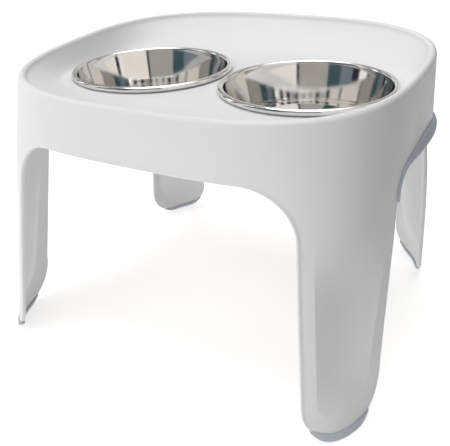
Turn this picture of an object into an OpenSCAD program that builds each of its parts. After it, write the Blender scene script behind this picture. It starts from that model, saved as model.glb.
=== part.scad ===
// Raised dog feeder: a one-piece moulded stand with two lift-out steel bowls,
// four soft foot strips and two soft carrying grips.
// Millimetres, +Z up. The floor is z = 0 and the stand is centred on the origin.
// The long side lies along X, and the rim is highest at the back, along +Y.

/* [Bowls] */
// Diameter of a bowl over its rolled rim
bowl_d = 200; // [180:1:230]
// Depth of a bowl inside
bowl_depth = 68; // [45:1:75]
// Gap between the rims of the two bowls
bowl_between = 8; // [8:1:30]
// Diameter of the rolled rim
bead_d = 7; // [6:0.5:9]
// Sheet thickness of a bowl
bowl_gauge = 0.8; // [0.6:0.1:1.2]
// How far the bowl wall leans in from rim to floor
bowl_taper = 10; // [6:1:22]
// Radius between the bowl's wall and its floor
bowl_floor_r = 24; // [14:1:30]
// Gap round a bowl in its hole
bowl_gap = 1; // [0.5:0.1:1.6]
// Gap under a rolled rim where it seats on the tray
seat_gap = 0.3; // [0.2:0.1:0.5]

/* [Tray] */
// Height of the tray above the floor
tray_z = 300; // [240:1:360]
// Flat tray kept beyond the bowl rims at each end
tray_end = 3; // [2:0.5:10]
// Flat tray kept beyond the bowl rims at front and back
tray_front = 13; // [10:1:30]
// Squareness of the flat part of the tray, where 2 is an ellipse
tray_squareness = 3.2; // [3:0.1:4]
// Run of the dish from the flat tray to the rim at each end
dish_end_run = 14; // [10:0.5:30]
// Run of the dish from the flat tray to the rim at front and back
dish_long_run = 65; // [40:1:80]
// How the dish turns up towards the rim, where 1 is a straight slope
dish_curve = 1.8; // [1.2:0.1:2.5]
// Height of the front edge of the rim above the tray
rim_front_h = 20; // [14:1:30]
// Height of the back edge of the rim above the tray
rim_back_h = 43; // [30:1:60]
// Width of the rounded top of the rim
rim_w = 9; // [8:0.5:12]
// Squareness of the rim outline
rim_squareness = 2.8; // [2.6:0.1:3.6]
// Wall thickness of the moulding
wall = 4; // [3:0.5:5]
// Depth of the collar under each bowl hole
collar_h = 8; // [6:1:14]
// Wall of the collar under each bowl hole
collar_wall = 3; // [2:0.5:4]

/* [Legs] */
// How far each leg runs out past the rim lengthwise
splay_length = 7; // [2:1:14]
// How far each leg runs out past the rim from front to back
splay_depth = 40; // [8:1:50]
// Share by which the outline at the floor narrows to the back and widens to the front
back_taper = 0.055; // [0:0.005:0.06]
// Squareness of the outline at the floor
foot_squareness = 5.1; // [4.5:0.1:8]
// Width of each front leg on its long side at the arch
leg_long_top = 62; // [50:1:90]
// Width of each front leg on its long side at the foot
leg_long_foot = 56; // [46:1:80]
// Width of each front leg on its short side at the arch
leg_side_top = 113; // [95:1:125]
// Width of each front leg on its short side at the foot
leg_side_foot = 115; // [95:1:125]
// How much wider a back leg is on its long side at the arch
back_long_top = 15; // [0:1:30]
// How much wider a back leg is on its long side at the foot
back_long_foot = 2; // [0:1:30]
// How much narrower a back leg is on its short side at the arch
back_side_top = 64; // [0:1:66]
// How much narrower a back leg is on its short side at the foot
back_side_foot = 18; // [0:1:40]
// Corner radius of a foot on a long side
foot_long_r = 38; // [24:1:44]
// Corner radius of a front foot on a short side
foot_side_r = 51; // [30:1:58]
// Corner radius of a back foot on a short side
back_side_r = 40; // [25:1:44]

/* [Arches] */
// Depth of the skirt under the tray on a long side
long_skirt = 37; // [30:1:70]
// Depth of the skirt under the tray on a short side
side_skirt = 50; // [35:1:75]
// Corner radius of the arches on the long sides
long_arch_r = 56; // [35:1:70]
// Corner radius of the arches on the short sides
side_arch_r = 29; // [20:1:40]
// Height of the small bead along the open edges
edge_bead = 1; // [0.4:0.1:1.6]

/* [Leg panels] */
// Width of the border beside each scooped leg panel
panel_border = 14; // [12:1:20]
// Width of that border at the foot on the short side of a front leg
panel_side = 26; // [14:1:30]
// Height of the border under each panel
panel_under = 26; // [20:1:34]
// Depth of the scoop across the corner of a leg
panel_depth = 14; // [6:0.5:15]
// Height over which the scoop rises from the border under it
panel_base = 65; // [40:1:90]
// How far under the long arches a panel has run out
panel_drop = 45; // [30:1:90]
// Height over which a panel runs out
panel_fade = 80; // [40:1:100]
// Share of a foot's corner radius that its panel has on a long side
panel_long_share = 0.4; // [0.15:0.05:0.6]
// Share of a foot's corner radius that its panel has on a short side
panel_side_share = 0.75; // [0.5:0.05:0.8]

/* [Foot strips] */
// Thickness of a foot strip under the foot
pad_t = 3.5; // [3:0.5:6]
// Height that a foot strip covers outside on the foot
pad_cover = 4.5; // [2:0.5:6]
// Height that a foot strip covers inside the foot
pad_inside = 1.5; // [1:0.5:4]
// Wall of a foot strip beside the foot
pad_wall = 1.6; // [1.2:0.1:2.4]
// Gap between a strip and the moulding it is pushed on to
strip_gap = 0.2; // [0.15:0.05:0.3]

/* [Grips] */
// Thickness of a grip outside the wall at the middle of its arch
grip_out = 7; // [4:0.5:9]
// Height that a grip covers on the wall at the middle of its arch
grip_cover = 10; // [6:0.5:13]
// Thickness of a grip under the edge at the middle of its arch
grip_under = 5; // [2.5:0.5:7]
// Thickness of a grip inside the wall
grip_in = 2; // [1.5:0.5:3]
// Share of its middle size that a grip keeps at its ends
grip_end = 0.3; // [0.25:0.05:0.5]

/* [Hidden] */
// Steps along each stretch of an open edge: arch, its corner, leg, foot corner and foot
n_arch = 3;
n_corner = 4;
n_leg = 4;
n_foot_corner = 4;
n_foot = 6;
// Rows of the skirt between the rim and the borders of the legs, and of the dish
n_skirt = 9;
n_dish = 4;
// Smoothness of the round parts, and angle between points of the bowl's turn and of the rim
fn_round = 96;
turn_step = 15;
rim_step = 45;
// How soon the columns beside a leg turn in from its border, and by what angle they start inside it
guide_power = 0.7;
column_turn = 1;
// Overlap of joined shapes and of cutters
overlap = 1;

bowl_r = bowl_d/2;
bead_r = bead_d/2;
bowl_spacing = bowl_d + bowl_between;
bowl_top_z = tray_z + seat_gap + bead_d;
bowl_neck_r = bowl_r - bead_d;
hole_r = bowl_neck_r + bowl_gauge + bowl_gap;

tray_length = bowl_spacing + bowl_d + 2*tray_end;
tray_depth = bowl_d + 2*tray_front;
top_length = tray_length + 2*(dish_end_run + rim_w);
top_depth = tray_depth + 2*(dish_long_run + rim_w);
foot_length = top_length + 2*splay_length;
foot_depth = top_depth + 2*splay_depth;
rim_mid_z = tray_z + (rim_front_h + rim_back_h)/2;
rim_r = rim_w/2;
foot_z = pad_t + strip_gap;
edge_round = wall/3;
bead_foot = 2*edge_round + edge_bead;
panel_top = tray_z - long_skirt - panel_drop;

// Arches beside a leg, on its short side and on its long side, each as half width at the top and at the feet,
// height, corner radius, corner radius of the foot, corner radius of the panel and border of the panel at the foot
function arches(long_top, long_foot, side_top, side_foot, side_r, side_border) = [
    [
        top_depth/2 - side_top, foot_depth/2 - side_foot, tray_z - side_skirt, side_arch_r,
        side_r, panel_side_share*side_r, side_border
    ],
    [
        top_length/2 - long_top, foot_length/2 - long_foot, tray_z - long_skirt, long_arch_r,
        foot_long_r, panel_long_share*foot_long_r, panel_border
    ]
];
front_arches = arches(leg_long_top, leg_long_foot, leg_side_top, leg_side_foot, foot_side_r, panel_side);
back_arches = arches(
    leg_long_top + back_long_top, leg_long_foot + back_long_foot,
    leg_side_top - back_side_top, leg_side_foot - back_side_foot, back_side_r, panel_border
);

// Column numbers in a quarter of the stand at which each stretch of the open edge ends
j_side = n_arch + n_corner;
j_side_leg = j_side + n_leg;
j_side_foot = j_side_leg + n_foot_corner;
j_long_foot = j_side_foot + n_foot;
j_long = j_long_foot + n_foot_corner + n_leg;
j_end = j_long + n_corner + n_arch;
columns = 4*j_end;
// Column beside a leg from which the columns straighten towards the foot
j_bend = j_side + n_leg/2;
// Columns that a foot strip covers, from low on one foot corner to the middle of the other
j_pad = [j_side_foot - 1, j_long_foot + n_foot_corner/2];

function lerp(p, q, f) = p + (q - p)*f;
function clamp(f) = min(max(f, 0), 1);
function smooth(f) = let (g = clamp(f)) g*g*(3 - 2*g);
function reverse(list) = [for (i = [len(list) - 1:-1:0]) list[i]];

// Half length, half depth and squareness of the outline at height z
function fall(z) = (rim_mid_z - z)/rim_mid_z;
function half_length(z) = lerp(top_length, foot_length, fall(z))/2;
function half_depth(z) = lerp(top_depth, foot_depth, fall(z))/2;
function squareness(z) = lerp(rim_squareness, foot_squareness, fall(z));

// Radius of a superellipse in direction t, and the point there moved outwards by off
function super_r(t, l, d, n) = pow(pow(abs(cos(t))/l, n) + pow(abs(sin(t))/d, n), -1/n);
function super_point(t, l, d, n, off) =
    let (
        r = super_r(t, l, d, n),
        x = r*cos(t),
        y = r*sin(t),
        g = [sign(x)*pow(abs(x)/l, n - 1)/l, sign(y)*pow(abs(y)/d, n - 1)/d]
    )
    [x, y] + off*g/norm(g);

// Point of the outer face in direction t at height z, moved outwards by off
function skin(t, z, off) =
    let (
        p = super_point(t, half_length(z), half_depth(z), squareness(z), off),
        narrow = 1 - back_taper*fall(z)*p.y/half_depth(z)
    )
    [p.x*narrow, p.y, z];

// Height of the rim in direction t, which rises from the front to the back
function rim_z(t) =
    let (y = super_point(t, top_length/2, top_depth/2, rim_squareness, 0).y)
    tray_z + lerp(rim_front_h, rim_back_h, y/top_depth + 1/2);

// Direction of the point of the outer face at a given x or y
function other_half(p, l, d, n) = d*pow(1 - pow(p/l, n), 1/n);
function dir_at_y(y, z) = atan2(y, other_half(y, half_depth(z), half_length(z), squareness(z)));
function dir_at_x(x, z) = atan2(other_half(x, half_length(z), half_depth(z), squareness(z)), x);

// Lower end, place at the foot and foot corner radius of an edge that is moved into the material by inset
function border_share(inset) = clamp((inset - bead_foot)/(panel_border - bead_foot));
function edge_base(inset) = foot_z + inset + (panel_under - panel_border)*border_share(inset);
function edge_foot(arch, inset) = arch[1] + inset + (arch[6] - panel_border)*border_share(inset);
function foot_r(arch, inset) = inset < 0 ? arch[4] - inset : lerp(arch[4], arch[5], clamp(inset/panel_border));

// Half an open edge, from the middle of an arch down to the foot, as [place, height].
// inset moves the edge into the material.
function half_edge(arch, inset) =
    let (
        corner = arch[0] - arch[3],
        leg_z = arch[2] - arch[3],
        r = foot_r(arch, inset),
        foot = [edge_foot(arch, inset) + r, edge_base(inset) + r]
    )
    concat(
        [for (i = [0:n_arch]) [corner*i/n_arch, arch[2] + inset]],
        [for (i = [1:n_corner])
            [corner, leg_z] + (arch[3] + inset)*[sin(90*i/n_corner), cos(90*i/n_corner)]],
        [for (i = [1:n_leg])
            lerp([arch[0] + inset, leg_z], [foot.x - r, foot.y], i/n_leg)],
        [for (i = [1:n_foot_corner])
            foot - r*[cos(90*i/n_foot_corner), sin(90*i/n_foot_corner)]]
    );

// A quarter of the open edge as [direction, height], from +X round to +Y
function quarter_edge(arches, inset) =
    let (
        s = [for (p = half_edge(arches[0], inset)) [dir_at_y(p[0], p[1]), p[1]]],
        l = [for (p = half_edge(arches[1], inset)) [dir_at_x(p[0], p[1]), p[1]]],
        s_end = s[len(s) - 1],
        l_end = l[len(l) - 1]
    )
    concat(s, [for (i = [1:n_foot - 1]) lerp(s_end, l_end, i/n_foot)], reverse(l));

// Directions in which the columns of one quarter meet the rim
function quarter_rim(arches) =
    let (
        edge = quarter_edge(arches, panel_border),
        t_side = edge[j_side][0] + column_turn,
        t_long = edge[j_long][0] - column_turn,
        j_top = j_end - n_arch
    )
    [for (j = [0:j_end])
        j <= n_arch || j >= j_top ? edge[j][0]
        : j < j_side ? lerp(edge[n_arch][0], t_side, sin(90*(j - n_arch)/n_corner))
        : j <= j_long ? lerp(t_side, t_long, (j - j_side)/(j_long - j_side))
        : lerp(edge[j_top][0], t_long, sin(90*(j_top - j)/n_corner))];

// Directions towards which the columns of one quarter run before they turn to the border
function quarter_guide(arches) =
    let (
        edge = quarter_edge(arches, panel_border),
        rim = quarter_rim(arches),
        reach = function (k) pow(sin(90*k/(j_side_foot - j_side)), guide_power)
    )
    [for (j = [0:j_end])
        j <= j_side || j >= j_long ? rim[j]
        : j < j_side_foot ? lerp(rim[j_side], edge[j_side_foot][0], reach(j - j_side))
        : j <= j_long_foot ? edge[j][0]
        : lerp(rim[j_long], edge[j_long_foot][0], reach(j_long - j))];

// How straight each column runs down to the border: straight over the arches and the foot,
// and turning outwards to meet it squarely beside a leg
function straightness(j) =
    let (k = min(j, j_end - j))
    k <= n_arch ? 1
    : k <= j_side ? pow(cos(90*(k - n_arch)/n_corner), 2)
    : pow(sin(90*clamp((k - j_bend)/(j_end/2 - j_bend))), 2);

// Bead along the open edge in column j, which stops where a strip is pushed on
function bead(j) = j > j_side && j < j_pad[0] || j > j_pad[1] ? edge_bead : 0;

// All four quarters, from a list for the back and one for the front that run from the side to the long side
function all_round(back, front, turn) = concat(
    [for (j = [0:j_end - 1]) turn(back[j], 0, 1)],
    [for (j = [j_end:-1:1]) turn(back[j], 180, -1)],
    [for (j = [0:j_end - 1]) turn(front[j], 180, 1)],
    [for (j = [j_end:-1:1]) turn(front[j], 360, -1)]
);
turn_edge = function (p, from, way) [from + way*p[0], p[1]];
turn_angle = function (t, from, way) from + way*t;
turn_none = function (b, from, way) b;

function edge_round_all(inset) =
    all_round(quarter_edge(back_arches, inset), quarter_edge(front_arches, inset), turn_edge);
function column_values(values) = all_round(values, values, turn_none);

rim_dirs = all_round(quarter_rim(back_arches), quarter_rim(front_arches), turn_angle);
bead_at = column_values([for (j = [0:j_end]) bead(j)]);
guide_dirs = all_round(quarter_guide(back_arches), quarter_guide(front_arches), turn_angle);
straight_at = column_values([for (j = [0:j_end]) straightness(j)]);
panel_edge = edge_round_all(panel_border);

// Place of a panel's outline at height z
function panel_place(arch, z) =
    let (
        leg_z = arch[2] - arch[3],
        r = foot_r(arch, panel_border),
        foot_centre_z = edge_base(panel_border) + r,
        under = min(max(foot_centre_z - z, 0), r)
    )
    lerp(arch[0] + panel_border, edge_foot(arch, panel_border), clamp((leg_z - z)/(leg_z - foot_centre_z)))
    + r - sqrt(r*r - under*under);

// Depth of the scoop in direction t at height z: a hollow from outline to outline across the leg,
// which rises from the border under it and runs out towards the arches
function panel_sink(t, z) =
    let (
        arches = sin(t) > 0 ? back_arches : front_arches,
        t_side = dir_at_y(panel_place(arches[0], z), z),
        t_long = dir_at_x(panel_place(arches[1], z), z),
        across = clamp((atan2(abs(sin(t)), abs(cos(t))) - t_side)/(t_long - t_side)),
        up = clamp((z - edge_base(panel_border))/panel_base)
    )
    panel_depth*smooth((panel_top - z)/panel_fade)*4*across*(1 - across)*up*(2 - up);

// Rows of the moulding, each a closed ring of points
function edge_row(inset, off, bead_share) =
    let (edge = edge_round_all(inset))
    [for (j = [0:columns - 1]) skin(edge[j][0], edge[j][1], off + bead_share*bead_at[j])];
function skirt_row(f, off, drop) = [
    for (j = [0:columns - 1])
        let (
            start = rim_dirs[j],
            end = panel_edge[j],
            guide = lerp(guide_dirs[j], (start + end[0])/2, straight_at[j]),
            t = lerp(lerp(start, guide, f), lerp(guide, end[0], f), f),
            z = lerp(end[1], rim_z(start) - drop, pow(1 - f, 2) + straight_at[j]*f*(1 - f))
        )
        skin(t, z, off - panel_sink(t, z))
];
function rim_row(off, drop) = [for (t = rim_dirs) skin(t, rim_z(t) - drop, off)];
function tray_row(off, z) = [
    for (t = rim_dirs)
        let (p = super_point(t, tray_length/2, tray_depth/2, tray_squareness, off)) [p.x, p.y, z]
];
function dish_row(outer, inner, f) = [
    for (j = [0:columns - 1])
        let (p = lerp(inner[j], outer[j], f))
        [p.x, p.y, lerp(inner[j].z, outer[j].z, pow(f, dish_curve))]
];

// The rows in order: tray, dish, rim, skirt, open edge, inside of the skirt, underside
function shell_rows() =
    let (
        tray_top = tray_row(0, tray_z),
        rim_in = rim_row(-rim_w, rim_r),
        tray_under = tray_row(wall, tray_z - wall),
        rim_under = rim_row(-wall - overlap, rim_w)
    )
    concat(
        [tray_top],
        [for (i = [1:n_dish]) dish_row(rim_in, tray_top, i/n_dish)],
        [for (a = [rim_step:rim_step:180 - rim_step]) rim_row(-rim_r*(1 + cos(a)), rim_r*(1 - sin(a)))],
        [for (i = [0:n_skirt]) skirt_row(i/n_skirt, 0, rim_r)],
        [edge_row(bead_foot, 0, 0), edge_row(edge_round, 0, 1), edge_row(0, -edge_round, 0)],
        [edge_row(0, edge_round - wall, 0), edge_row(edge_round, -wall, 0), edge_row(bead_foot, -wall, 0)],
        [for (i = [n_skirt:-1:0]) skirt_row(i/n_skirt, -wall, rim_w + wall)],
        [for (i = [n_dish:-1:1]) dish_row(rim_under, tray_under, i/n_dish)],
        [tray_under]
    );

// Closed solid through rows of points, each row a closed ring
module loft(rows) {
    n = len(rows[0]);
    m = len(rows);
    sides = [
        for (i = [0:m - 2], j = [0:n - 1])
            let (a = i*n + j, b = i*n + (j + 1)%n)
            each [[a, b + n, a + n], [a, b, b + n]]
    ];
    first = [for (j = [n - 1:-1:0]) j];
    last = [for (j = [0:n - 1]) (m - 1)*n + j];
    polyhedron([for (r = rows) each r], concat(sides, [first, last]));
}

module at_bowls() {
    for (s = [-1, 1])
        translate([s*bowl_spacing/2, 0, 0]) children();
}

module stand_shell() color("whitesmoke") difference() {
    union() {
        loft(shell_rows());
        at_bowls() translate([0, 0, tray_z - wall - collar_h])
            cylinder(r = hole_r + collar_wall, h = collar_h + wall/2, $fn = fn_round);
    }
    at_bowls() translate([0, 0, tray_z - wall - collar_h - overlap])
        cylinder(r = hole_r, h = wall + collar_h + 2*overlap, $fn = fn_round);
}

// One bowl: a rolled rim and a leaning wall that turns into a flat floor
module bowl() {
    neck_z = bowl_top_z - bead_r;
    floor_z = bowl_top_z - bowl_depth;
    turn = [bowl_neck_r - bowl_taper - bowl_floor_r, floor_z + bowl_floor_r];
    inside = [for (a = [0:-turn_step:-90]) turn + bowl_floor_r*[cos(a), sin(a)]];
    outside = [for (a = [-90:turn_step:0]) turn + (bowl_floor_r + bowl_gauge)*[cos(a), sin(a)]];
    rotate_extrude($fn = fn_round) {
        translate([bowl_r - bead_r, neck_z]) circle(r = bead_r, $fn = fn_round);
        polygon(concat(
            [[bowl_neck_r, neck_z]], inside, [[0, floor_z], [0, floor_z - bowl_gauge]], outside,
            [[bowl_neck_r + bowl_gauge, neck_z]]
        ));
    }
}

module bowl_left() color("silver") translate([-bowl_spacing/2, 0, 0]) bowl();
module bowl_right() color("silver") translate([bowl_spacing/2, 0, 0]) bowl();

// Section of a strip at column j of the open edge, from [off, inset] pairs
function strip_section(profile, arches, j, way) = [
    for (p = profile)
        let (e = quarter_edge(arches, p[1])[j])
        skin(way*e[0], e[1], p[0])
];

// Channel that is pushed on to the lower edge of a foot
pad_profile = [
    [strip_gap + pad_wall, -foot_z],
    [strip_gap + pad_wall, pad_cover],
    [strip_gap, pad_cover],
    [strip_gap, -strip_gap],
    [-wall - strip_gap, -strip_gap],
    [-wall - strip_gap, pad_inside],
    [-wall - strip_gap - pad_wall, pad_inside],
    [-wall - strip_gap - pad_wall, -foot_z]
];

module foot_strip(arches, columns, way) color("lightsteelblue")
    loft([for (j = columns) strip_section(pad_profile, arches, j, way)]);

module foot_strip_back_right() foot_strip(back_arches, [j_pad[0]:1:j_pad[1]], 1);
module foot_strip_back_left() mirror([1, 0, 0]) foot_strip_back_right();
module foot_strip_front_right() foot_strip(front_arches, [j_pad[1]:-1:j_pad[0]], -1);
module foot_strip_front_left() mirror([1, 0, 0]) foot_strip_front_right();

// Rounded lip that is pushed on to the edge of a side arch, k times its middle size
function grip_profile(k) = [
    [strip_gap + grip_out*k/3, grip_cover*k],
    [strip_gap, grip_cover*k],
    [strip_gap, -strip_gap],
    [-wall - strip_gap, -strip_gap],
    [-wall - strip_gap, grip_cover*k/2],
    [-wall - strip_gap - grip_in/2, grip_cover*k/2],
    [-wall - strip_gap - grip_in, 0],
    [-wall - strip_gap - grip_in/2, -strip_gap - grip_under*k],
    [strip_gap + grip_out*k/3, -strip_gap - grip_under*k],
    [strip_gap + grip_out*k, 0],
    [strip_gap + grip_out*k, grip_cover*k/2]
];
grip_mid = (back_arches[0][0] - front_arches[0][0])/2;
grip_reach = (back_arches[0][0] + front_arches[0][0])/2;
function grip_size(y) = lerp(1, grip_end, smooth(abs(y - grip_mid)/grip_reach));
function grip_section(arches, j, way) =
    strip_section(grip_profile(grip_size(way*half_edge(arches[0], 0)[j][0])), arches, j, way);

module grip() color("lightsteelblue") loft(concat(
    [for (j = [j_side:-1:1]) grip_section(front_arches, j, -1)],
    [for (j = [0:j_side]) grip_section(back_arches, j, 1)]
));

module grip_right() grip();
module grip_left() mirror([1, 0, 0]) grip();

stand_shell();
bowl_left();
bowl_right();
foot_strip_front_left();
foot_strip_front_right();
foot_strip_back_left();
foot_strip_back_right();
grip_left();
grip_right();
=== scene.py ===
"""Looks of the raised dog feeder stand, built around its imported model."""

import math
from collections import namedtuple

import bmesh
import bpy
import numpy as np
from mathutils import Matrix, Vector
from mathutils.geometry import delaunay_2d_cdt


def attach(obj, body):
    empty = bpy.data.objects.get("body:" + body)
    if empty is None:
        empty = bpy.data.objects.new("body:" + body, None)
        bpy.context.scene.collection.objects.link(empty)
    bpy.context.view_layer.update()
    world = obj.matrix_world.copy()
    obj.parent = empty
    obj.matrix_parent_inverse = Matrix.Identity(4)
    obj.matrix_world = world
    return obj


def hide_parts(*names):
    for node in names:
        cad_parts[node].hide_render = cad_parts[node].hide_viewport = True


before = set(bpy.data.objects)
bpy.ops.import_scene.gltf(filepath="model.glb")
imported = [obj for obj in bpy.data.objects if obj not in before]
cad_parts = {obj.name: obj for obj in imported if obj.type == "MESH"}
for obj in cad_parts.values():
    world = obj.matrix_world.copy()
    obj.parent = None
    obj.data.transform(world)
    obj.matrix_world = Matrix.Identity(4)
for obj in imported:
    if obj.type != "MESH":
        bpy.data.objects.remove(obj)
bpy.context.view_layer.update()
scene = bpy.context.scene
scene.view_settings.view_transform = "Standard"

# Camera of the photograph: place in metres, angles in degrees, focal length in pixels of the frame
CAMERA_AT = Vector((0.355365, -0.621285, 0.497068))
YAW, PITCH, ROLL = 30.429, 28.654, 2.636
FOCAL_PX = 611.308
FRAME_PX = 450
SENSOR_MM = 36

# Point that the lamps face, in metres, and colour of the surroundings
AIM = Vector((0, 0, 0.2))
WHITE = (1, 1, 1, 1)

# Sizes of the part in millimetres, as in its source
MM = 0.001
BOWL_D, BOWL_DEPTH, BOWL_BETWEEN = 200.0, 68.0, 8.0
BEAD_D, BOWL_GAUGE, BOWL_TAPER, BOWL_FLOOR_R = 7.0, 0.8, 10.0, 24.0
BOWL_GAP, SEAT_GAP = 1.0, 0.3
TRAY_Z, TRAY_END, TRAY_FRONT, TRAY_SQUARENESS = 300.0, 3.0, 13.0, 3.2
DISH_END_RUN, DISH_LONG_RUN, DISH_CURVE = 14.0, 65.0, 1.8
RIM_FRONT_H, RIM_BACK_H, RIM_W, RIM_SQUARENESS = 20.0, 43.0, 9.0, 2.8
WALL, COLLAR_H, COLLAR_WALL, OVERLAP = 4.0, 8.0, 3.0, 1.0
SPLAY_LENGTH, SPLAY_DEPTH, FOOT_SQUARENESS, BACK_TAPER = 7.0, 40.0, 5.1, 0.055
LEG_LONG_TOP, LEG_LONG_FOOT = 62.0, 56.0
LEG_SIDE_TOP, LEG_SIDE_FOOT = 113.0, 115.0
BACK_LONG_TOP, BACK_LONG_FOOT = 15.0, 2.0
BACK_SIDE_TOP, BACK_SIDE_FOOT = 64.0, 18.0
FOOT_LONG_R, FOOT_SIDE_R, BACK_SIDE_R = 38.0, 51.0, 40.0
LONG_SKIRT, SIDE_SKIRT, LONG_ARCH_R, SIDE_ARCH_R = 37.0, 50.0, 56.0, 29.0
EDGE_BEAD = 1.0
PANEL_BORDER, PANEL_SIDE, PANEL_UNDER, PANEL_DEPTH, PANEL_BASE = 14.0, 26.0, 26.0, 14.0, 65.0
PANEL_DROP, PANEL_FADE, PANEL_LONG_SHARE, PANEL_SIDE_SHARE = 45.0, 80.0, 0.4, 0.75
PAD_T, PAD_COVER, PAD_INSIDE, PAD_WALL, STRIP_GAP = 3.5, 4.5, 1.5, 1.6, 0.2
GRIP_OUT, GRIP_COVER, GRIP_UNDER, GRIP_IN, GRIP_END = 7.0, 10.0, 5.0, 2.0, 0.3

# How the columns of the skirt run, as in the source
GUIDE_POWER, COLUMN_TURN = 0.7, math.radians(1)

# Steps along each stretch of an open edge, three times the source's
N_ARCH, N_CORNER, N_LEG, N_FOOT_CORNER, N_FOOT = 9, 12, 12, 12, 18

# Steps of the other faces, finer than the source's
N_SKIRT, N_DISH, N_BORDER = 34, 16, 5
N_BOWL_TURN, N_BOWL_WALL, N_BOWL_ROLL = 13, 9, 34
RIM_ANGLES, LIP_ANGLES = range(15, 180, 15), range(0, 91, 15)
HOLE_SIDES, BOWL_SIDES = 160, 192

# Columns over which a bead or a foot strip runs out, and the share of the strip's wall at its ends
BEAD_RAMP, PAD_RAMP, PAD_END = 3, 3, 0.45

# Roundings of the bowl holes and their collars in millimetres
HOLE_LIP, COLLAR_ROUND = 0.8, 0.5

# Share of a side that a rounded corner of a section may take
CORNER_SHARE = 0.48

# Where the rolled rim of a bowl ends, in degrees, and rings on its floor as shares of the flat part
ROLL_END = -150
FLOOR_RINGS = np.array([0.15, 0.35, 0.6, 0.85])

# Wear of the inner edges and of the lips of the bowl holes
EDGE_IN_WEAR, LIP_WEAR = 0.3, 0.6

BOWL_R, BEAD_R = BOWL_D / 2, BEAD_D / 2
BOWL_X = (BOWL_D + BOWL_BETWEEN) / 2
BOWL_TOP = TRAY_Z + SEAT_GAP + BEAD_D
NECK_R = BOWL_R - BEAD_D
HOLE_R = NECK_R + BOWL_GAUGE + BOWL_GAP
TRAY_HALF = np.array([BOWL_X + BOWL_R + TRAY_END, BOWL_R + TRAY_FRONT])
TOP_HALF = TRAY_HALF + [DISH_END_RUN + RIM_W, DISH_LONG_RUN + RIM_W]
FOOT_HALF = TOP_HALF + [SPLAY_LENGTH, SPLAY_DEPTH]
RIM_MID_Z = TRAY_Z + (RIM_FRONT_H + RIM_BACK_H) / 2
RIM_R = RIM_W / 2
FOOT_Z = PAD_T + STRIP_GAP
EDGE_ROUND = WALL / 3
BEAD_FOOT = 2 * EDGE_ROUND + EDGE_BEAD
PANEL_TOP = TRAY_Z - LONG_SKIRT - PANEL_DROP

# Edge rows of the shell, as shares of the bead's width with their offsets, shares of the bead and wear
EDGE_OUT = (
    (0.82, 0, 0.28, 0.3), (0.62, 0, 0.72, 0.8), (0.42, 0, 0.97, 1), (0.25, -0.08, 0.95, 1),
    (0.1, -0.4, 0.7, 1), (0.02, -0.9, 0.3, 0.8), (0, -EDGE_ROUND, 0, 0.5),
)
EDGE_IN = ((0, EDGE_ROUND - WALL), (0.02, 0.7 - WALL), (0.1, 0.28 - WALL), (0.36, -WALL), (1, -WALL))

# Half widths of an arch at the top and at the feet, its height and corner radius, the corner radii of the
# foot and of the panel, and the border of the panel at the foot
Arch = namedtuple("Arch", "top foot height radius foot_r panel_r border")


def arches(long_top, long_foot, side_top, side_foot, side_r, side_border):
    """Arches beside a leg, on its short side and on its long side."""
    side_panel_r, long_panel_r = PANEL_SIDE_SHARE * side_r, PANEL_LONG_SHARE * FOOT_LONG_R
    side = Arch(
        TOP_HALF[1] - side_top, FOOT_HALF[1] - side_foot, TRAY_Z - SIDE_SKIRT, SIDE_ARCH_R,
        side_r, side_panel_r, side_border,
    )
    long = Arch(
        TOP_HALF[0] - long_top, FOOT_HALF[0] - long_foot, TRAY_Z - LONG_SKIRT, LONG_ARCH_R,
        FOOT_LONG_R, long_panel_r, PANEL_BORDER,
    )
    return side, long


FRONT = arches(LEG_LONG_TOP, LEG_LONG_FOOT, LEG_SIDE_TOP, LEG_SIDE_FOOT, FOOT_SIDE_R, PANEL_SIDE)
BACK = arches(
    LEG_LONG_TOP + BACK_LONG_TOP, LEG_LONG_FOOT + BACK_LONG_FOOT,
    LEG_SIDE_TOP - BACK_SIDE_TOP, LEG_SIDE_FOOT - BACK_SIDE_FOOT, BACK_SIDE_R, PANEL_BORDER,
)

# Column numbers in a quarter of the stand at which each stretch of the open edge ends
J_SIDE = N_ARCH + N_CORNER
J_SIDE_LEG = J_SIDE + N_LEG
J_SIDE_FOOT = J_SIDE_LEG + N_FOOT_CORNER
J_LONG_FOOT = J_SIDE_FOOT + N_FOOT
J_LONG = J_LONG_FOOT + N_FOOT_CORNER + N_LEG
J_END = J_LONG + N_CORNER + N_ARCH

# Columns between which a foot strip runs
J_PAD = (J_SIDE_FOOT - N_FOOT_CORNER // 4, J_LONG_FOOT + N_FOOT_CORNER // 2)


def lerp(p, q, f):
    return p + (q - p) * f


def smooth(f):
    g = np.clip(f, 0, 1)
    return g * g * (3 - 2 * g)


def fall(z):
    return (RIM_MID_Z - z) / RIM_MID_Z


def section(z):
    """Half length, half depth and squareness of the outline at height z."""
    f = fall(z)
    length, depth = (lerp(TOP_HALF[i], FOOT_HALF[i], f) for i in (0, 1))
    return length, depth, lerp(RIM_SQUARENESS, FOOT_SQUARENESS, f)


def outline_radius(t, length, depth, n):
    return ((np.abs(np.cos(t)) / length) ** n + (np.abs(np.sin(t)) / depth) ** n) ** (-1 / n)


def outline(t, length, depth, n, off):
    """Points of a superellipse in directions t, moved outwards by off."""
    r = outline_radius(t, length, depth, n)
    x, y = r * np.cos(t), r * np.sin(t)
    gx = np.sign(x) * (np.abs(x) / length) ** (n - 1) / length
    gy = np.sign(y) * (np.abs(y) / depth) ** (n - 1) / depth
    g = np.hypot(gx, gy)
    return x + off * gx / g, y + off * gy / g


def skin(t, z, off):
    """Points of the outer face in directions t at heights z, moved outwards by off."""
    length, depth, n = section(z)
    x, y = outline(t, length, depth, n, off)
    narrow = 1 - BACK_TAPER * fall(z) * y / depth
    return np.stack([x * narrow, y, np.broadcast_to(z, x.shape)], -1)


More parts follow.
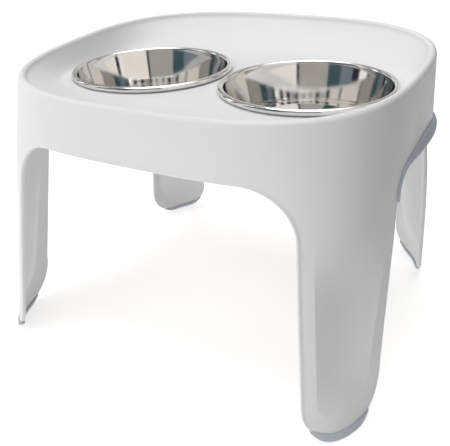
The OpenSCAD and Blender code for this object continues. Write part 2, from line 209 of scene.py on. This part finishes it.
def rim_height(t):
    _, y = outline(t, *TOP_HALF, RIM_SQUARENESS, 0)
    return TRAY_Z + lerp(RIM_FRONT_H, RIM_BACK_H, y / (2 * TOP_HALF[1]) + 0.5)


def other_half(p, this, other, n):
    return other * np.clip(1 - (p / this) ** n, 0, None) ** (1 / n)


def steps(n):
    return np.arange(1, n + 1)[:, None] / n


def border_share(inset):
    return min(max((inset - BEAD_FOOT) / (PANEL_BORDER - BEAD_FOOT), 0), 1)


def edge_base(inset):
    """Lower end of an edge that is moved into the material by inset, which runs higher under a panel."""
    return FOOT_Z + inset + (PANEL_UNDER - PANEL_BORDER) * border_share(inset)


def edge_foot(arch, inset):
    """Place at the foot of an edge that is moved into the material by inset."""
    return arch.foot + inset + (arch.border - PANEL_BORDER) * border_share(inset)


def foot_radius(arch, inset):
    if inset < 0:
        return arch.foot_r - inset
    return lerp(arch.foot_r, arch.panel_r, min(inset / PANEL_BORDER, 1))


def half_edge(arch, inset):
    """Half an open edge from the middle of an arch down to the foot, as rows of place and height."""
    start = np.array([arch.top - arch.radius, arch.height - arch.radius])
    r = foot_radius(arch, inset)
    toe = np.array([edge_foot(arch, inset) + r, edge_base(inset) + r])
    a, b = steps(N_CORNER) * math.pi / 2, steps(N_FOOT_CORNER) * math.pi / 2
    across = np.arange(N_ARCH + 1)[:, None] / N_ARCH * [start[0], 0] + [0, arch.height + inset]
    corner = start + (arch.radius + inset) * np.hstack([np.sin(a), np.cos(a)])
    leg = lerp(np.array([arch.top + inset, start[1]]), toe - [r, 0], steps(N_LEG))
    turn = toe - r * np.hstack([np.cos(b), np.sin(b)])
    return np.vstack([across, corner, leg, turn])


def dir_at_y(y, z):
    length, depth, n = section(z)
    return np.arctan2(y, other_half(y, depth, length, n))


def dir_at_x(x, z):
    length, depth, n = section(z)
    return np.arctan2(other_half(x, length, depth, n), x)


def quarter_edge(legs, inset):
    """Directions and heights of a quarter of the open edge, from the short side to the long side."""
    (side_y, side_z), (long_x, long_z) = (half_edge(arch, inset).T for arch in legs)
    side_t, long_t = dir_at_y(side_y, side_z), dir_at_x(long_x, long_z)
    f = np.arange(1, N_FOOT) / N_FOOT
    t = np.concatenate([side_t, lerp(side_t[-1], long_t[-1], f), long_t[::-1]])
    z = np.concatenate([side_z, lerp(side_z[-1], long_z[-1], f), long_z[::-1]])
    return t, z


def quarter_rim(legs):
    """Directions in which the columns of one quarter meet the rim."""
    edge, _ = quarter_edge(legs, PANEL_BORDER)
    rim = edge.copy()
    top = J_END - N_ARCH
    first, last = edge[J_SIDE] + COLUMN_TURN, edge[J_LONG] - COLUMN_TURN
    rim[J_SIDE : J_LONG + 1] = np.linspace(first, last, J_LONG - J_SIDE + 1)
    turn = np.sin(np.arange(N_CORNER + 1) / N_CORNER * math.pi / 2)
    rim[N_ARCH : J_SIDE + 1] = lerp(edge[N_ARCH], rim[J_SIDE], turn)
    rim[J_LONG : top + 1] = lerp(edge[top], rim[J_LONG], turn[::-1])
    return rim


def quarter_guide(legs):
    """Directions towards which the columns of one quarter run before they turn to the border."""
    edge, _ = quarter_edge(legs, PANEL_BORDER)
    guide = quarter_rim(legs)
    count = J_SIDE_FOOT - J_SIDE
    reach = np.sin(np.arange(count + 1) / count * math.pi / 2) ** GUIDE_POWER
    guide[J_SIDE : J_SIDE_FOOT + 1] = lerp(guide[J_SIDE], edge[J_SIDE_FOOT], reach)
    guide[J_SIDE_FOOT : J_LONG_FOOT + 1] = edge[J_SIDE_FOOT : J_LONG_FOOT + 1]
    guide[J_LONG_FOOT : J_LONG + 1] = lerp(guide[J_LONG], edge[J_LONG_FOOT], reach[::-1])
    return guide


def quarter_straight():
    """How straight each column runs: 1 over arches and foot, 0 where it turns to meet a leg's border."""
    j = np.arange(J_END + 1)
    k = np.minimum(j, J_END - j)
    over = np.cos(np.clip((k - N_ARCH) / N_CORNER, 0, 1) * math.pi / 2) ** 2
    bend = J_SIDE + N_LEG // 2
    under = np.sin(np.clip((k - bend) / (J_END / 2 - bend), 0, 1) * math.pi / 2) ** 2
    return over + under


def all_round(back, front):
    """All four quarters of values that run from the short side to the long side."""
    return np.concatenate([back[:-1], back[:0:-1], front[:-1], front[:0:-1]])


def turned_round(back, front):
    """All four quarters of directions that run from the short side to the long side."""
    turns = back[:-1], math.pi - back[:0:-1], math.pi + front[:-1], 2 * math.pi - front[:0:-1]
    return np.concatenate(turns)


def ring_edge(inset):
    (back_t, back_z), (front_t, front_z) = quarter_edge(BACK, inset), quarter_edge(FRONT, inset)
    return turned_round(back_t, front_t), all_round(back_z, front_z)


def quarter_bead():
    """Share of the edge bead in each column: it runs out before the grips and the foot strips."""
    j = np.arange(J_END + 1)
    side = smooth((j - J_SIDE) / BEAD_RAMP) * smooth((J_PAD[0] - j) / BEAD_RAMP)
    return side + smooth((j - J_PAD[1]) / BEAD_RAMP)


RIM_DIRS = turned_round(quarter_rim(BACK), quarter_rim(FRONT))
BEADS = all_round(quarter_bead(), quarter_bead())
STRAIGHT = all_round(quarter_straight(), quarter_straight())
GUIDE_DIRS = turned_round(quarter_guide(BACK), quarter_guide(FRONT))
PANEL_DIRS, PANEL_HEIGHTS = ring_edge(PANEL_BORDER)


def panel_place(arch, z):
    """Place of a panel's outline at height z."""
    leg_z, r = arch.height - arch.radius, foot_radius(arch, PANEL_BORDER)
    foot_centre = edge_base(PANEL_BORDER) + r
    under = np.clip(foot_centre - z, 0, r)
    down = np.clip((leg_z - z) / (leg_z - foot_centre), 0, 1)
    straight = lerp(arch.top + PANEL_BORDER, edge_foot(arch, PANEL_BORDER), down)
    return straight + r - np.sqrt(r * r - under * under)


def panel_sink(t, z):
    """Depth of the scoop across each leg, which starts at its lower border and runs out at the arches."""
    fold = np.arctan2(np.abs(np.sin(t)), np.abs(np.cos(t)))
    ends = []
    for back, front, direction in zip(BACK, FRONT, (dir_at_y, dir_at_x)):
        at_back, at_front = (direction(panel_place(arch, z), z) for arch in (back, front))
        ends.append(np.where(np.sin(t) > 0, at_back, at_front))
    across = np.clip((fold - ends[0]) / (ends[1] - ends[0]), 0, 1)
    up = np.clip((z - edge_base(PANEL_BORDER)) / PANEL_BASE, 0, 1)
    return PANEL_DEPTH * smooth((PANEL_TOP - z) / PANEL_FADE) * 4 * across * (1 - across) * up * (2 - up)


def edge_row(inset, off, bead_share=0.0):
    t, z = ring_edge(inset)
    return skin(t, z, off + bead_share * EDGE_BEAD * BEADS)


def skirt_row(f, off, drop):
    guide = lerp(GUIDE_DIRS, (RIM_DIRS + PANEL_DIRS) / 2, STRAIGHT)
    t = lerp(lerp(RIM_DIRS, guide, f), lerp(guide, PANEL_DIRS, f), f)
    z = lerp(PANEL_HEIGHTS, rim_height(RIM_DIRS) - drop, (1 - f) ** 2 + STRAIGHT * f * (1 - f))
    return skin(t, z, off - panel_sink(t, z))


def rim_row(off, drop):
    return skin(RIM_DIRS, rim_height(RIM_DIRS) - drop, off)


def tray_row(off, z):
    x, y = outline(RIM_DIRS, *TRAY_HALF, TRAY_SQUARENESS, off)
    return np.stack([x, y, np.full_like(x, z)], -1)


def dish_row(outer, inner, f):
    row = lerp(inner, outer, f)
    row[:, 2] = lerp(inner[:, 2], outer[:, 2], f**DISH_CURVE)
    return row


def add_object(name, data):
    made = bpy.data.objects.new(name, data)
    scene.collection.objects.link(made)
    return made


class Builder:
    """Collects rings of points in millimetres and the faces between them, and makes one mesh of them."""

    def __init__(self):
        self.points, self.wear, self.faces, self.creases, self.extra = [], [], [], [], []
        self.count = 0

    def ring(self, points, wear=0.0, extra=None):
        start = self.count
        self.points.append(np.asarray(points, float))
        self.wear.append(np.broadcast_to(wear, len(points)))
        self.extra.append(np.zeros((len(points), 3)) if extra is None else extra)
        self.count += len(points)
        return list(range(start, self.count))

    def bridge(self, rings):
        for a, b in zip(rings, rings[1:]):
            for i in range(len(a)):
                k = (i + 1) % len(a)
                self.faces.append((a[i], b[i], b[k], a[k]))

    def fan(self, centre, ring):
        for i in range(len(ring)):
            self.faces.append((centre, ring[i], ring[(i + 1) % len(ring)]))

    def crease(self, ring):
        self.creases += [frozenset((ring[i], ring[(i + 1) % len(ring)])) for i in range(len(ring))]

    def fill(self, outer, holes):
        """Flat face between an outer ring and the rings of its holes."""
        index = [i for loop in [outer, *holes] for i in loop]
        all_points = np.concatenate(self.points)
        flat = [Vector(all_points[i][:2]) for i in index]
        edges, first = [], 0
        for loop in [outer, *holes]:
            n = len(loop)
            edges += [(first + i, first + (i + 1) % n) for i in range(n)]
            first += n
        valid_faces, close = 4, 1e-6
        _, _, faces, origin, _, _ = delaunay_2d_cdt(flat, edges, [], valid_faces, close)
        for face in faces:
            found = [index[origin[i][0]] for i in face]
            middle = all_points[found].mean(0)
            if not any(self.inside(middle, all_points[hole]) for hole in holes):
                self.faces.append(tuple(found))

    @staticmethod
    def inside(point, loop):
        """Whether a point lies inside a round loop."""
        centre, apothem = loop.mean(0), math.cos(math.pi / len(loop))
        return np.linalg.norm(point - centre) < apothem * np.linalg.norm(loop[0] - centre)

    def make(self, name, material):
        mesh = bpy.data.meshes.new(name)
        mesh.from_pydata((np.concatenate(self.points) * MM).tolist(), [], self.faces)
        work = bmesh.new()
        work.from_mesh(mesh)
        bmesh.ops.recalc_face_normals(work, faces=work.faces)
        work.to_mesh(mesh)
        work.free()
        mesh.shade_smooth()
        creases = set(self.creases)
        for edge in mesh.edges:
            if frozenset(edge.vertices) in creases:
                edge.use_edge_sharp = True
        wear = mesh.attributes.new("wear", "FLOAT", "POINT")
        wear.data.foreach_set("value", np.concatenate(self.wear).astype(np.float32))
        extra = mesh.attributes.new("lathe", "FLOAT_VECTOR", "POINT")
        extra.data.foreach_set("vector", np.concatenate(self.extra).astype(np.float32).ravel())
        mesh.materials.append(material)
        return add_object(name, mesh)


def circle(x, r, z, sides):
    a = np.arange(sides) * 2 * math.pi / sides
    return np.stack([x + r * np.cos(a), r * np.sin(a), np.full(sides, z)], -1)


def build_shell(material):
    build = Builder()
    tray_top, tray_under = tray_row(0, TRAY_Z), tray_row(WALL, TRAY_Z - WALL)
    rim_in, rim_under = rim_row(-RIM_W, RIM_R), rim_row(-WALL - OVERLAP, RIM_W)
    rows = [(tray_top, 0)]
    rows += [(dish_row(rim_in, tray_top, i / N_DISH), 0) for i in range(1, N_DISH + 1)]
    for degrees in RIM_ANGLES:
        a = math.radians(degrees)
        rows.append((rim_row(-RIM_R * (1 + math.cos(a)), RIM_R * (1 - math.sin(a))), math.sin(a)))
    rows += [(skirt_row(i / N_SKIRT, 0, RIM_R), 0) for i in range(N_SKIRT + 1)]
    panel_edge = len(rows) - 1
    rows += [(edge_row(lerp(PANEL_BORDER, BEAD_FOOT, i / N_BORDER), 0), 0) for i in range(1, N_BORDER + 1)]
    rows += [(edge_row(share * BEAD_FOOT, off, bead), wear) for share, off, bead, wear in EDGE_OUT]
    rows += [(edge_row(share * BEAD_FOOT, off), EDGE_IN_WEAR) for share, off in EDGE_IN]
    rows += [(edge_row(lerp(BEAD_FOOT, PANEL_BORDER, i / N_BORDER), -WALL), 0) for i in range(1, N_BORDER)]
    rows += [(skirt_row(i / N_SKIRT, -WALL, RIM_W + WALL), 0) for i in range(N_SKIRT, -1, -1)]
    rows += [(dish_row(rim_under, tray_under, i / N_DISH), 0) for i in range(N_DISH, 0, -1)]
    rows.append((tray_under, 0))
    rings = [build.ring(points, wear) for points, wear in rows]
    build.bridge(rings)

    tops, unders = [], []
    collar_z, collar_r = TRAY_Z - WALL - COLLAR_H, HOLE_R + COLLAR_WALL
    for x in (-BOWL_X, BOWL_X):
        hole = []
        for degrees in LIP_ANGLES:
            a = math.radians(degrees)
            r, z = HOLE_R + HOLE_LIP * (1 - math.sin(a)), TRAY_Z - HOLE_LIP * (1 - math.cos(a))
            hole.append(build.ring(circle(x, r, z, HOLE_SIDES), LIP_WEAR))
        for r, z in (
            (HOLE_R, collar_z + COLLAR_ROUND), (HOLE_R + COLLAR_ROUND, collar_z),
            (collar_r - COLLAR_ROUND, collar_z), (collar_r, collar_z + COLLAR_ROUND),
            (collar_r, TRAY_Z - WALL),
        ):
            hole.append(build.ring(circle(x, r, z, HOLE_SIDES)))
        build.bridge(hole)
        for ring in (hole[0], *hole[len(LIP_ANGLES) - 1 :]):
            build.crease(ring)
        tops.append(hole[0])
        unders.append(hole[-1])
    build.fill(rings[0], tops)
    build.fill(rings[-1], unders)
    for ring in (rings[0], rings[panel_edge], rings[-1]):
        build.crease(ring)
    return build.make("stand_moulding", material)


def arc(centre, r, degrees):
    a = np.radians(degrees)
    return np.stack([centre[0] + r * np.cos(a), centre[1] + r * np.sin(a)], -1)


def bowl_profile():
    """Closed half section of a bowl, from the middle of its floor up over the rolled rim and back below."""
    neck_z, floor_z = BOWL_TOP - BEAD_R, BOWL_TOP - BOWL_DEPTH
    turn = (NECK_R - BOWL_TAPER - BOWL_FLOOR_R, floor_z + BOWL_FLOOR_R)
    roll = (BOWL_R - BEAD_R, neck_z)
    flat_r = FLOOR_RINGS * turn[0]
    floor_in = np.stack([flat_r, np.full_like(flat_r, floor_z)], -1)
    between = np.linspace(0, 1, N_BOWL_WALL)[1:-1, None]
    turn_in = arc(turn, BOWL_FLOOR_R, np.linspace(-90, 0, N_BOWL_TURN))
    wall_in = lerp(turn_in[-1], np.array([NECK_R, neck_z]), between)
    over = arc(roll, BEAD_R, np.linspace(180, ROLL_END, N_BOWL_ROLL))
    under = arc(roll, BEAD_R - BOWL_GAUGE, np.linspace(ROLL_END, 180, N_BOWL_ROLL))
    turn_out = arc(turn, BOWL_FLOOR_R + BOWL_GAUGE, np.linspace(0, -90, N_BOWL_TURN))
    wall_out = lerp(np.array([NECK_R + BOWL_GAUGE, neck_z]), turn_out[0], between)
    floor_out = floor_in[::-1] - [0, BOWL_GAUGE]
    cut = len(floor_in) + len(turn_in) + len(wall_in) + len(over) - 1
    return np.vstack([floor_in, turn_in, wall_in, over, under, wall_out, turn_out, floor_out]), cut


def build_bowl(name, x, material):
    build = Builder()
    profile, cut = bowl_profile()
    along = np.concatenate([[0], np.cumsum(np.hypot(*np.diff(profile, axis=0).T))])
    a = np.arange(BOWL_SIDES) * 2 * math.pi / BOWL_SIDES
    rings = []
    for (r, z), s in zip(profile, along):
        lathe = np.stack([np.full(BOWL_SIDES, s), np.cos(a), np.sin(a)], -1)
        wear = 1.0 if z > BOWL_TOP - BEAD_R else 0.0
        rings.append(build.ring(circle(x, r, z, BOWL_SIDES), wear, lathe))
    build.bridge(rings)
    floor_z = BOWL_TOP - BOWL_DEPTH
    for ring, z in ((rings[0], floor_z), (rings[-1], floor_z - BOWL_GAUGE)):
        build.fan(build.ring([(x, 0, z)])[0], ring)
    build.crease(rings[cut])
    build.crease(rings[cut + 1])
    return build.make(name, material)


def rounded(corners, count=4):
    """Closed outline through corners, each two places and a radius, with a soft curve at every corner."""
    points = []
    n = len(corners)
    for i in range(n):
        before, here, after = (np.array(corners[k % n][:2], float) for k in (i - 1, i, i + 1))
        room_before, room_after = np.linalg.norm(before - here), np.linalg.norm(after - here)
        reach = min(corners[i][2], CORNER_SHARE * min(room_before, room_after))
        p = here + (before - here) / room_before * reach
        q = here + (after - here) / room_after * reach
        for f in np.linspace(0, 1, count + 1):
            points.append((1 - f) ** 2 * p + 2 * f * (1 - f) * here + f * f * q)
    return np.array(points)


def strip_section(profile, legs, j, way):
    """Section of a soft strip at column j of the open edge, from rows of off and inset."""
    points = []
    for off, inset in profile:
        t, z = quarter_edge(legs, inset)
        points.append(skin(np.array([way * t[j]]), np.array([z[j]]), off)[0])
    return np.array(points)


def pad_outline(k):
    """Section of a foot strip, a channel pushed on to the edge of the foot, with k of its full wall."""
    out, top = STRIP_GAP + PAD_WALL * k, lerp(PAD_COVER / 2, PAD_COVER, k)
    low, inner = -STRIP_GAP - PAD_T * k, -WALL - STRIP_GAP
    inside = lerp(PAD_INSIDE / 2, PAD_INSIDE, k)
    return rounded([
        (out, low, 1.6), (out, top, 0.7), (STRIP_GAP, top, 0.25), (STRIP_GAP, -STRIP_GAP, 0.2),
        (inner, -STRIP_GAP, 0.2), (inner, inside, 0.2), (inner - PAD_WALL * k, inside, 0.6),
        (inner - PAD_WALL * k, low, 1.6),
    ])


def grip_outline(k):
    """Section of a grip, a rounded lip pushed on to the edge of a side arch, with k of its middle size."""
    out, cover, low = STRIP_GAP + GRIP_OUT * k, GRIP_COVER * k, -STRIP_GAP - GRIP_UNDER * k
    step, inner = STRIP_GAP + GRIP_OUT * k / 3, -WALL - STRIP_GAP
    return rounded([
        (step, cover, 2.0 * k), (STRIP_GAP, cover, 0.3), (STRIP_GAP, -STRIP_GAP, 0.2),
        (inner, -STRIP_GAP, 0.2), (inner, cover / 2, 0.3), (inner - GRIP_IN / 2, cover / 2, 1.2),
        (inner - GRIP_IN, 0, 3.0), (inner - GRIP_IN / 2, low, 1.5), (step, low, 3.0 * k),
        (out, 0, 4.0 * k), (out, cover / 2, 4.0 * k),
    ])


def build_strip(name, sections, side, material):
    """Closed strip through sections, which side, 1 or -1, mirrors in X."""
    build = Builder()
    rings = []
    for points, wear in sections:
        rings.append(build.ring(points * [side, 1, 1], wear))
    build.bridge(rings)
    for ring in (rings[0], rings[-1]):
        build.faces.append(tuple(ring))
        build.crease(ring)
    return build.make(name, material)


def pad_sections(legs, way):
    """Sections of a foot strip along its foot, thinner at both ends."""
    made = []
    for j in range(J_PAD[0], J_PAD[1] + 1):
        k = lerp(PAD_END, 1, smooth(min(j - J_PAD[0], J_PAD[1] - j) / PAD_RAMP))
        profile = pad_outline(k)
        made.append((strip_section(profile, legs, j, way), np.clip(-profile[:, 1] / PAD_T, 0, 1)))
    return made


def grip_sections():
    """Sections of a grip from front to back, thickest at the middle of its arch."""
    made = []
    back_top, front_top = BACK[0].top, FRONT[0].top
    middle, reach = (back_top - front_top) / 2, (back_top + front_top) / 2
    for j in range(-J_SIDE, J_SIDE + 1):
        legs, way = (BACK, 1) if j >= 0 else (FRONT, -1)
        y = way * half_edge(legs[0], 0)[abs(j)][0]
        profile = grip_outline(lerp(1, GRIP_END, smooth(abs(y - middle) / reach)))
        made.append((strip_section(profile, legs, abs(j), way), np.clip(profile[:, 0] / GRIP_OUT, 0, 1)))
    return made


def node(tree, kind, inputs=None, **settings):
    """New node with its settings, and inputs given as values or as sockets to link."""
    made = tree.nodes.new(kind)
    for key, value in settings.items():
        setattr(made, key, value)
    for key, value in (inputs or {}).items():
        if isinstance(value, bpy.types.NodeSocket):
            tree.links.new(value, made.inputs[key])
        else:
            made.inputs[key].default_value = value
    return made


def remap(tree, value, low, high, to_low, to_high):
    inputs = {"Value": value, "From Min": low, "From Max": high, "To Min": to_low, "To Max": to_high}
    return node(tree, "ShaderNodeMapRange", inputs).outputs["Result"]


def noise(tree, where, scale, detail=2.0, rough=0.5):
    inputs = {"Vector": where, "Scale": scale, "Detail": detail, "Roughness": rough}
    return node(tree, "ShaderNodeTexNoise", inputs).outputs["Fac"]


def math_node(tree, operation, a, b):
    return node(tree, "ShaderNodeMath", {0: a, 1: b}, operation=operation).outputs[0]


def mix_colour(tree, factor, a, b):
    """Colour between a and b, by the numbers that the colour sockets of a mix node have."""
    return node(tree, "ShaderNodeMix", {0: factor, 6: a, 7: b}, data_type="RGBA").outputs[2]


def bump(tree, height, strength, distance, normal=None):
    inputs = {"Height": height, "Strength": strength, "Distance": distance}
    if normal is not None:
        inputs["Normal"] = normal
    return node(tree, "ShaderNodeBump", inputs).outputs["Normal"]


def new_material(name):
    material = bpy.data.materials.new(name)
    material.use_nodes = True
    tree = material.node_tree
    return material, tree, tree.nodes["Principled BSDF"]


def bare_tree(owner):
    """Empty node tree of a material or a world."""
    owner.use_nodes = True
    owner.node_tree.nodes.clear()
    return owner.node_tree


def place(tree):
    return node(tree, "ShaderNodeTexCoord").outputs["Object"]


def attribute(tree, name, output):
    return node(tree, "ShaderNodeAttribute", attribute_name=name).outputs[output]


def white_plastic():
    """Satin moulded plastic: faint mottling, fine spark texture, scuffed edges, dust at the feet."""
    material, tree, shader = new_material("satin_white_plastic")
    where = place(tree)
    wear = attribute(tree, "wear", "Fac")
    height = node(tree, "ShaderNodeSeparateXYZ", {0: where}).outputs["Z"]
    mottle = noise(tree, where, 9.0, 3.0)
    colour = mix_colour(tree, mottle, (0.795, 0.796, 0.803, 1), (0.832, 0.833, 0.84, 1))
    scuff = remap(tree, noise(tree, where, 140.0, 6.0, 0.65), 0.56, 0.68, 0.0, 1.0)
    scuff = math_node(tree, "MULTIPLY", scuff, wear)
    scuff = math_node(tree, "MULTIPLY", scuff, 0.5)
    colour = mix_colour(tree, scuff, colour, (0.66, 0.66, 0.665, 1))
    low = remap(tree, height, 0.0, 0.05, 0.35, 0.0)
    dust = math_node(tree, "MULTIPLY", low, noise(tree, where, 60.0, 4.0))
    colour = mix_colour(tree, dust, colour, (0.62, 0.60, 0.57, 1))
    tree.links.new(colour, shader.inputs["Base Color"])
    gloss = remap(tree, noise(tree, where, 30.0, 4.0), 0.3, 0.7, 0.40, 0.50)
    gloss = math_node(tree, "ADD", gloss, math_node(tree, "MULTIPLY", scuff, 0.2))
    tree.links.new(gloss, shader.inputs["Roughness"])
    peel = bump(tree, noise(tree, where, 90.0, 1.0), 0.06, 0.001)
    spark = bump(tree, noise(tree, where, 1400.0, 2.0), 0.10, 0.0002, peel)
    tree.links.new(spark, shader.inputs["Normal"])
    shader.inputs["IOR"].default_value = 1.46
    return material


def polished_steel():
    """Polished stainless sheet, slightly wavy: lines left by spinning, fine rub marks, a worn rolled rim."""
    material, tree, shader = new_material("polished_stainless")
    lathe = attribute(tree, "lathe", "Vector")
    where = place(tree)
    lines = node(tree, "ShaderNodeMapping", {"Vector": lathe, "Scale": (4.0, 1.2, 1.2)}).outputs[0]
    spun = noise(tree, lines, 1.0, 4.0, 0.7)
    rubbed = noise(tree, where, 45.0, 5.0, 0.6)
    wear = attribute(tree, "wear", "Fac")
    colour = mix_colour(tree, rubbed, (0.70, 0.69, 0.675, 1), (0.80, 0.79, 0.775, 1))
    tree.links.new(colour, shader.inputs["Base Color"])
    gloss = remap(tree, rubbed, 0.35, 0.75, 0.05, 0.13)
    gloss = math_node(tree, "ADD", gloss, math_node(tree, "MULTIPLY", wear, 0.05))
    tree.links.new(gloss, shader.inputs["Roughness"])
    waves = bump(tree, noise(tree, where, 22.0, 1.0), 0.35, 0.0006)
    tree.links.new(bump(tree, spun, 0.05, 0.0002, waves), shader.inputs["Normal"])
    shader.inputs["Metallic"].default_value = 1.0
    return material


def soft_plastic():
    """Matt blue-grey soft plastic: fine grain and paler rubbed edges."""
    material, tree, shader = new_material("soft_blue_grey")
    where = place(tree)
    wear = attribute(tree, "wear", "Fac")
    mottle = noise(tree, where, 40.0, 4.0)
    colour = mix_colour(tree, mottle, (0.47, 0.515, 0.57, 1), (0.53, 0.575, 0.63, 1))
    patches = remap(tree, noise(tree, where, 220.0, 5.0), 0.5, 0.7, 0.0, 0.35)
    rub = math_node(tree, "MULTIPLY", wear, patches)
    colour = mix_colour(tree, rub, colour, (0.64, 0.68, 0.73, 1))
    tree.links.new(colour, shader.inputs["Base Color"])
    tree.links.new(remap(tree, mottle, 0.3, 0.7, 0.52, 0.66), shader.inputs["Roughness"])
    tree.links.new(bump(tree, noise(tree, where, 1800.0, 2.0), 0.2, 0.0003), shader.inputs["Normal"])
    return material


def seen_ray(tree):
    """1 for rays that show the surroundings, straight, in gloss or in glass, and 0 for those that light."""
    path = node(tree, "ShaderNodeLightPath")
    seen = math_node(tree, "MAXIMUM", path.outputs["Is Camera Ray"], path.outputs["Is Glossy Ray"])
    return math_node(tree, "MAXIMUM", seen, path.outputs["Is Transmission Ray"])


def make_camera():
    yaw, pitch, roll = (math.radians(a) for a in (YAW, PITCH, ROLL))
    ahead, across = Vector((-math.sin(yaw), math.cos(yaw), 0)), Vector((math.cos(yaw), math.sin(yaw), 0))
    up = Vector((0, 0, 1))
    forward = math.cos(pitch) * ahead - math.sin(pitch) * up
    down = -math.sin(pitch) * ahead - math.cos(pitch) * up
    right = math.cos(roll) * across + math.sin(roll) * down
    image_down = math.cos(roll) * down - math.sin(roll) * across
    data = bpy.data.cameras.new("camera")
    data.sensor_width = SENSOR_MM
    data.lens = FOCAL_PX * SENSOR_MM / FRAME_PX
    data.clip_start = 0.01
    camera = add_object("camera", data)
    turn = Matrix((right, -image_down, -forward)).transposed()
    camera.matrix_world = Matrix.Translation(CAMERA_AT) @ turn.to_4x4()
    scene.camera = camera


def make_world(ambient):
    """Even white surroundings: full white where they are seen, and ambient where they light."""
    world = bpy.data.worlds.new("studio")
    tree = bare_tree(world)
    light = node(tree, "ShaderNodeBackground", {"Color": WHITE, "Strength": ambient})
    white = node(tree, "ShaderNodeBackground", {"Color": WHITE, "Strength": 1.0})
    inputs = {0: seen_ray(tree), 1: light.outputs[0], 2: white.outputs[0]}
    mixed = node(tree, "ShaderNodeMixShader", inputs)
    node(tree, "ShaderNodeOutputWorld", {"Surface": mixed.outputs[0]})
    scene.world = world


def make_floor(colour, lift, far_lift, floor_glow):
    """Plain pale floor that takes the shadow, lifted to white where seen; where it lights the stand it glows
    with light of its own, painted bounce light.
    """
    mesh = bpy.data.meshes.new("floor")
    half, z = 8.0, -0.0004
    corners = [(-half, -half, z), (half, -half, z), (half, half, z), (-half, half, z)]
    mesh.from_pydata(corners, [], [(0, 1, 2, 3)])
    material = bpy.data.materials.new("pale_floor")
    tree = bare_tree(material)
    matt = node(tree, "ShaderNodeBsdfDiffuse", {"Color": colour})
    away = node(tree, "ShaderNodeVectorMath", {0: place(tree)}, operation="LENGTH").outputs["Value"]
    near, far = 1.0, 3.0
    level = remap(tree, away, near, far, lift, far_lift)
    seen = math_node(tree, "MULTIPLY", seen_ray(tree), level)
    # The floor glows by this much for rays that light the stand: painted bounce light, not light that it
    # reflects.
    glow = node(tree, "ShaderNodeEmission", {"Strength": math_node(tree, "MAXIMUM", seen, floor_glow)})
    both = node(tree, "ShaderNodeAddShader", {0: matt.outputs[0], 1: glow.outputs[0]})
    node(tree, "ShaderNodeOutputMaterial", {"Surface": both.outputs[0]})
    mesh.materials.append(material)
    floor = add_object("floor", mesh)


def make_light(name, at, size, watts):
    """Soft rectangular lamp that faces the middle of the stand."""
    data = bpy.data.lights.new(name, "AREA")
    data.shape = "RECTANGLE"
    data.size, data.size_y = size
    data.energy = watts
    light = add_object(name, data)
    light.location = at
    light.rotation_euler = (AIM - Vector(at)).to_track_quat("-Z", "Y").to_euler()


# Glowing studio cards round the object, which paint reflections on the bowls where only gloss meets them and
# paint shade where only light rays meet them: direction and width in degrees, and tone
GREY, DARK, CREAM = (0.42, 0.40, 0.38), (0.03, 0.03, 0.035), (0.95, 0.90, 0.83)
TEAL, SLATE = (0.05, 0.09, 0.10), (0.18, 0.22, 0.25)
REFLECTION_CARDS = [
    (-24, 44, CREAM), (-50, 4, DARK), (-73, 42, GREY), (-104, 20, TEAL), (-124, 20, SLATE),
    (-140, 12, DARK), (-166, 12, DARK), (-190, 14, DARK), (-205, 10, GREY), (-218, 12, DARK),
    (-240, 10, GREY), (8, 6, DARK), (26, 22, CREAM), (45, 12, DARK), (60, 8, GREY), (76, 14, DARK),
    (98, 12, GREY),
]


def make_cards(name, cards, reach, low, high, **seen_by):
    """Upright glowing cards in a ring round the stand, which only the named kinds of ray meet: painted
    reflections where gloss meets them, painted shade where light rays meet them.
    """
    points, faces, tones = [], [], []
    for turn, wide, tone in cards:
        for side in (-1, 1):
            angle = math.radians(turn + side * wide / 2)
            points += [(reach * math.cos(angle), reach * math.sin(angle), z) for z in (low, high)]
        start = len(points) - 4
        faces.append((start, start + 2, start + 3, start + 1))
        tones += (*tone, 1.0)
    mesh = bpy.data.meshes.new(name)
    mesh.from_pydata(points, [], faces)
    mesh.attributes.new("tone", "FLOAT_COLOR", "FACE").data.foreach_set("color", tones)
    material = bpy.data.materials.new(name)
    tree = bare_tree(material)
    glow = node(tree, "ShaderNodeEmission", {"Color": attribute(tree, "tone", "Color"), "Strength": 1.0})
    node(tree, "ShaderNodeOutputMaterial", {"Surface": glow.outputs[0]})
    mesh.materials.append(material)
    ring = add_object(name, mesh)
    for kind in ("camera", "diffuse", "glossy", "transmission", "shadow"):
        setattr(ring, f"visible_{kind}", seen_by.get(kind, False))


make_camera()
make_world(ambient=0.44)
# The floor's own glow on the stand is painted bounce light.
make_floor(colour=(0.89, 0.875, 0.862, 1), lift=0.5, far_lift=0.66, floor_glow=0.2)
make_light("key", at=(-1.5, -1.7, 1.9), size=(1.6, 1.6), watts=11.5)
make_light("side", at=(-2.4, 0.2, 0.8), size=(1.6, 1.2), watts=7.5)
make_light("front", at=(-0.3, -2.4, 0.9), size=(1.6, 1.2), watts=7)
make_light("top", at=(0, 0.1, 2.4), size=(1.8, 1.8), watts=25)
# Cards that only gloss meets: painted reflections in the bowls.
make_cards("bowl_reflection_cards", REFLECTION_CARDS, reach=1.4, low=0.25, high=3.0, glossy=True)
make_cards("shade_card", [(10, 88, DARK)], reach=0.95, low=0.0, high=1.6, diffuse=True)

plastic, steel, soft = white_plastic(), polished_steel(), soft_plastic()

shell = build_shell(plastic)
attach(shell, "stand")
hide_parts("stand_shell")

for side, x in (("left", -BOWL_X), ("right", BOWL_X)):
    bowl = build_bowl(f"steel_bowl_{side}", x, steel)
    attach(bowl, f"{side}_bowl")
    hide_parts(f"bowl_{side}")

grips = grip_sections()
for side, sx in (("left", -1), ("right", 1)):
    for end, way, legs in (("front", -1, FRONT), ("back", 1, BACK)):
        pad = build_strip(f"foot_pad_{end}_{side}", pad_sections(legs, way), sx, soft)
        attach(pad, "stand")
        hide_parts(f"foot_strip_{end}_{side}")
    grip = build_strip(f"hand_grip_{side}", grips, sx, soft)
    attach(grip, "stand")
    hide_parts(f"grip_{side}")
